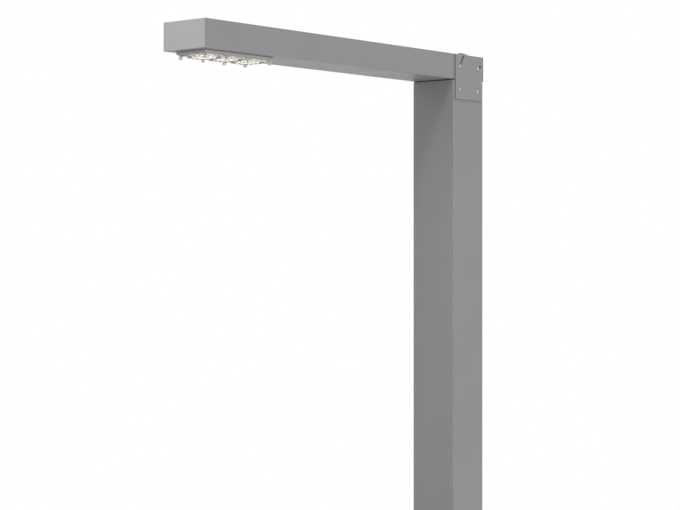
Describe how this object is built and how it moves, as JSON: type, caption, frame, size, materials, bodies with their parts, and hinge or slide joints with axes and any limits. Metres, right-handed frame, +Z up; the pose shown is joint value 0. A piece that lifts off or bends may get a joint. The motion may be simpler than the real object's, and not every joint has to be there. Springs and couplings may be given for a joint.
{
  "type": "street lamp post",
  "caption": "Square-tube street lamp post with a tiltable box-section arm across its top and an LED module under the arm's tip.",
  "frame": {"origin": "centre of the base plate's underside, on the post's axis, which is the centre of the bolt pattern", "axes": "+Z up along the post; the arm reaches towards -X; the service door is in the +X face"},
  "size_m": [1.275, 0.3, 4.0037],
  "materials": {
    "post_coating": "mid grey powder coat, semi-gloss",
    "arm_coating": "mid grey powder coat, semi-gloss",
    "plate_coating": "mid grey powder coat, semi-gloss",
    "module_metal": "die cast, mid grey powder coat",
    "stainless": "passivated stainless steel",
    "zinc": "zinc plated steel",
    "lock_metal": "dull chromed zinc casting",
    "brass": "machined brass",
    "black_rubber": "EPDM rubber",
    "silicone": "translucent silicone",
    "lens_clear": "clear moulded PMMA",
    "clamp_clear": "clear moulded polycarbonate",
    "board_white": "white solder mask",
    "led_phosphor": "yellow phosphor",
    "box_grey": "light grey polycarbonate",
    "lid_clear": "clear polycarbonate",
    "terminal_plastic": "natural polyamide",
    "fuse_black": "black phenolic",
    "gland_grey": "grey polyamide",
    "cable_jacket": "black cable jacket",
    "clip_nylon": "black nylon",
    "driver_case": "plain extruded aluminium",
    "surge_case": "white polyamide, potted"
  },
  "bodies": {
    "post": {"base_plate": "post_coating", "post_tube": "post_coating", "post_top_plate": "post_coating", "post_grommet": "black_rubber", "joint_seal": "black_rubber", "side_plate_front": "plate_coating", "side_plate_back": "plate_coating", "plate_bolts": "stainless", "post_nut_bars": "post_coating", "door_frame": "post_coating", "door_seal": "black_rubber", "post_hinge_leaves": "stainless", "hinge_pins": "stainless", "mounting_board": "zinc", "board_screws": "stainless", "junction_box": "box_grey", "junction_box_lid": "lid_clear", "lid_screws": "zinc", "terminal_block": "terminal_plastic", "fuse_holder": "fuse_black", "cable_glands": "gland_grey", "earth_stud": "brass", "earth_nuts": "brass", "cable_clip": "clip_nylon", "post_cable": "cable_jacket", "cable_slack_loop": "cable_jacket"},
    "door": {"door_panel": "post_coating", "door_hinge_leaves": "stainless", "lock_housing": "lock_metal", "lock_nut": "lock_metal"},
    "lock": {"lock_core": "lock_metal", "lock_cam": "zinc", "cam_screw": "zinc"},
    "arm": {"arm_body": "arm_coating", "arm_tip_plate": "arm_coating", "arm_nut_bars": "zinc", "tilt_bolts": "stainless", "arm_grommet": "black_rubber", "rear_cap": "arm_coating", "rear_cap_screws": "stainless", "rear_cap_gasket": "black_rubber", "gear_tray": "zinc", "led_driver": "driver_case", "driver_screws": "stainless", "driver_lead": "cable_jacket", "surge_protector": "surge_case", "arm_terminals": "terminal_plastic", "module_cable": "cable_jacket", "module_body": "module_metal", "module_screws": "stainless", "module_gasket": "black_rubber", "module_gland": "gland_grey", "led_boards": "board_white", "led_chips": "led_phosphor", "lens_tile_1": "lens_clear", "lens_tile_2": "lens_clear", "lens_tile_3": "lens_clear", "lens_gaskets": "silicone", "lens_clamp_caps": "clamp_clear", "lens_screws": "stainless"}
  },
  "joints": [
    {"name": "arm_tilt", "type": "hinge", "parent": "post", "child": "arm", "pos_m": [0.075, 0, 3.925], "axis": [0, 1, 0], "range_deg": [0, 15], "deforming": ["cable_slack_loop"]},
    {"name": "door_swing", "type": "hinge", "parent": "post", "child": "door", "pos_m": [0.0795, 0.051, 0.85], "axis": [0, 0, 1], "range_deg": [0, 110]},
    {"name": "lock_turn", "type": "hinge", "parent": "door", "child": "lock", "pos_m": [0.075, -0.031, 0.85], "axis": [1, 0, 0], "range_deg": [0, 90]}
  ]
}
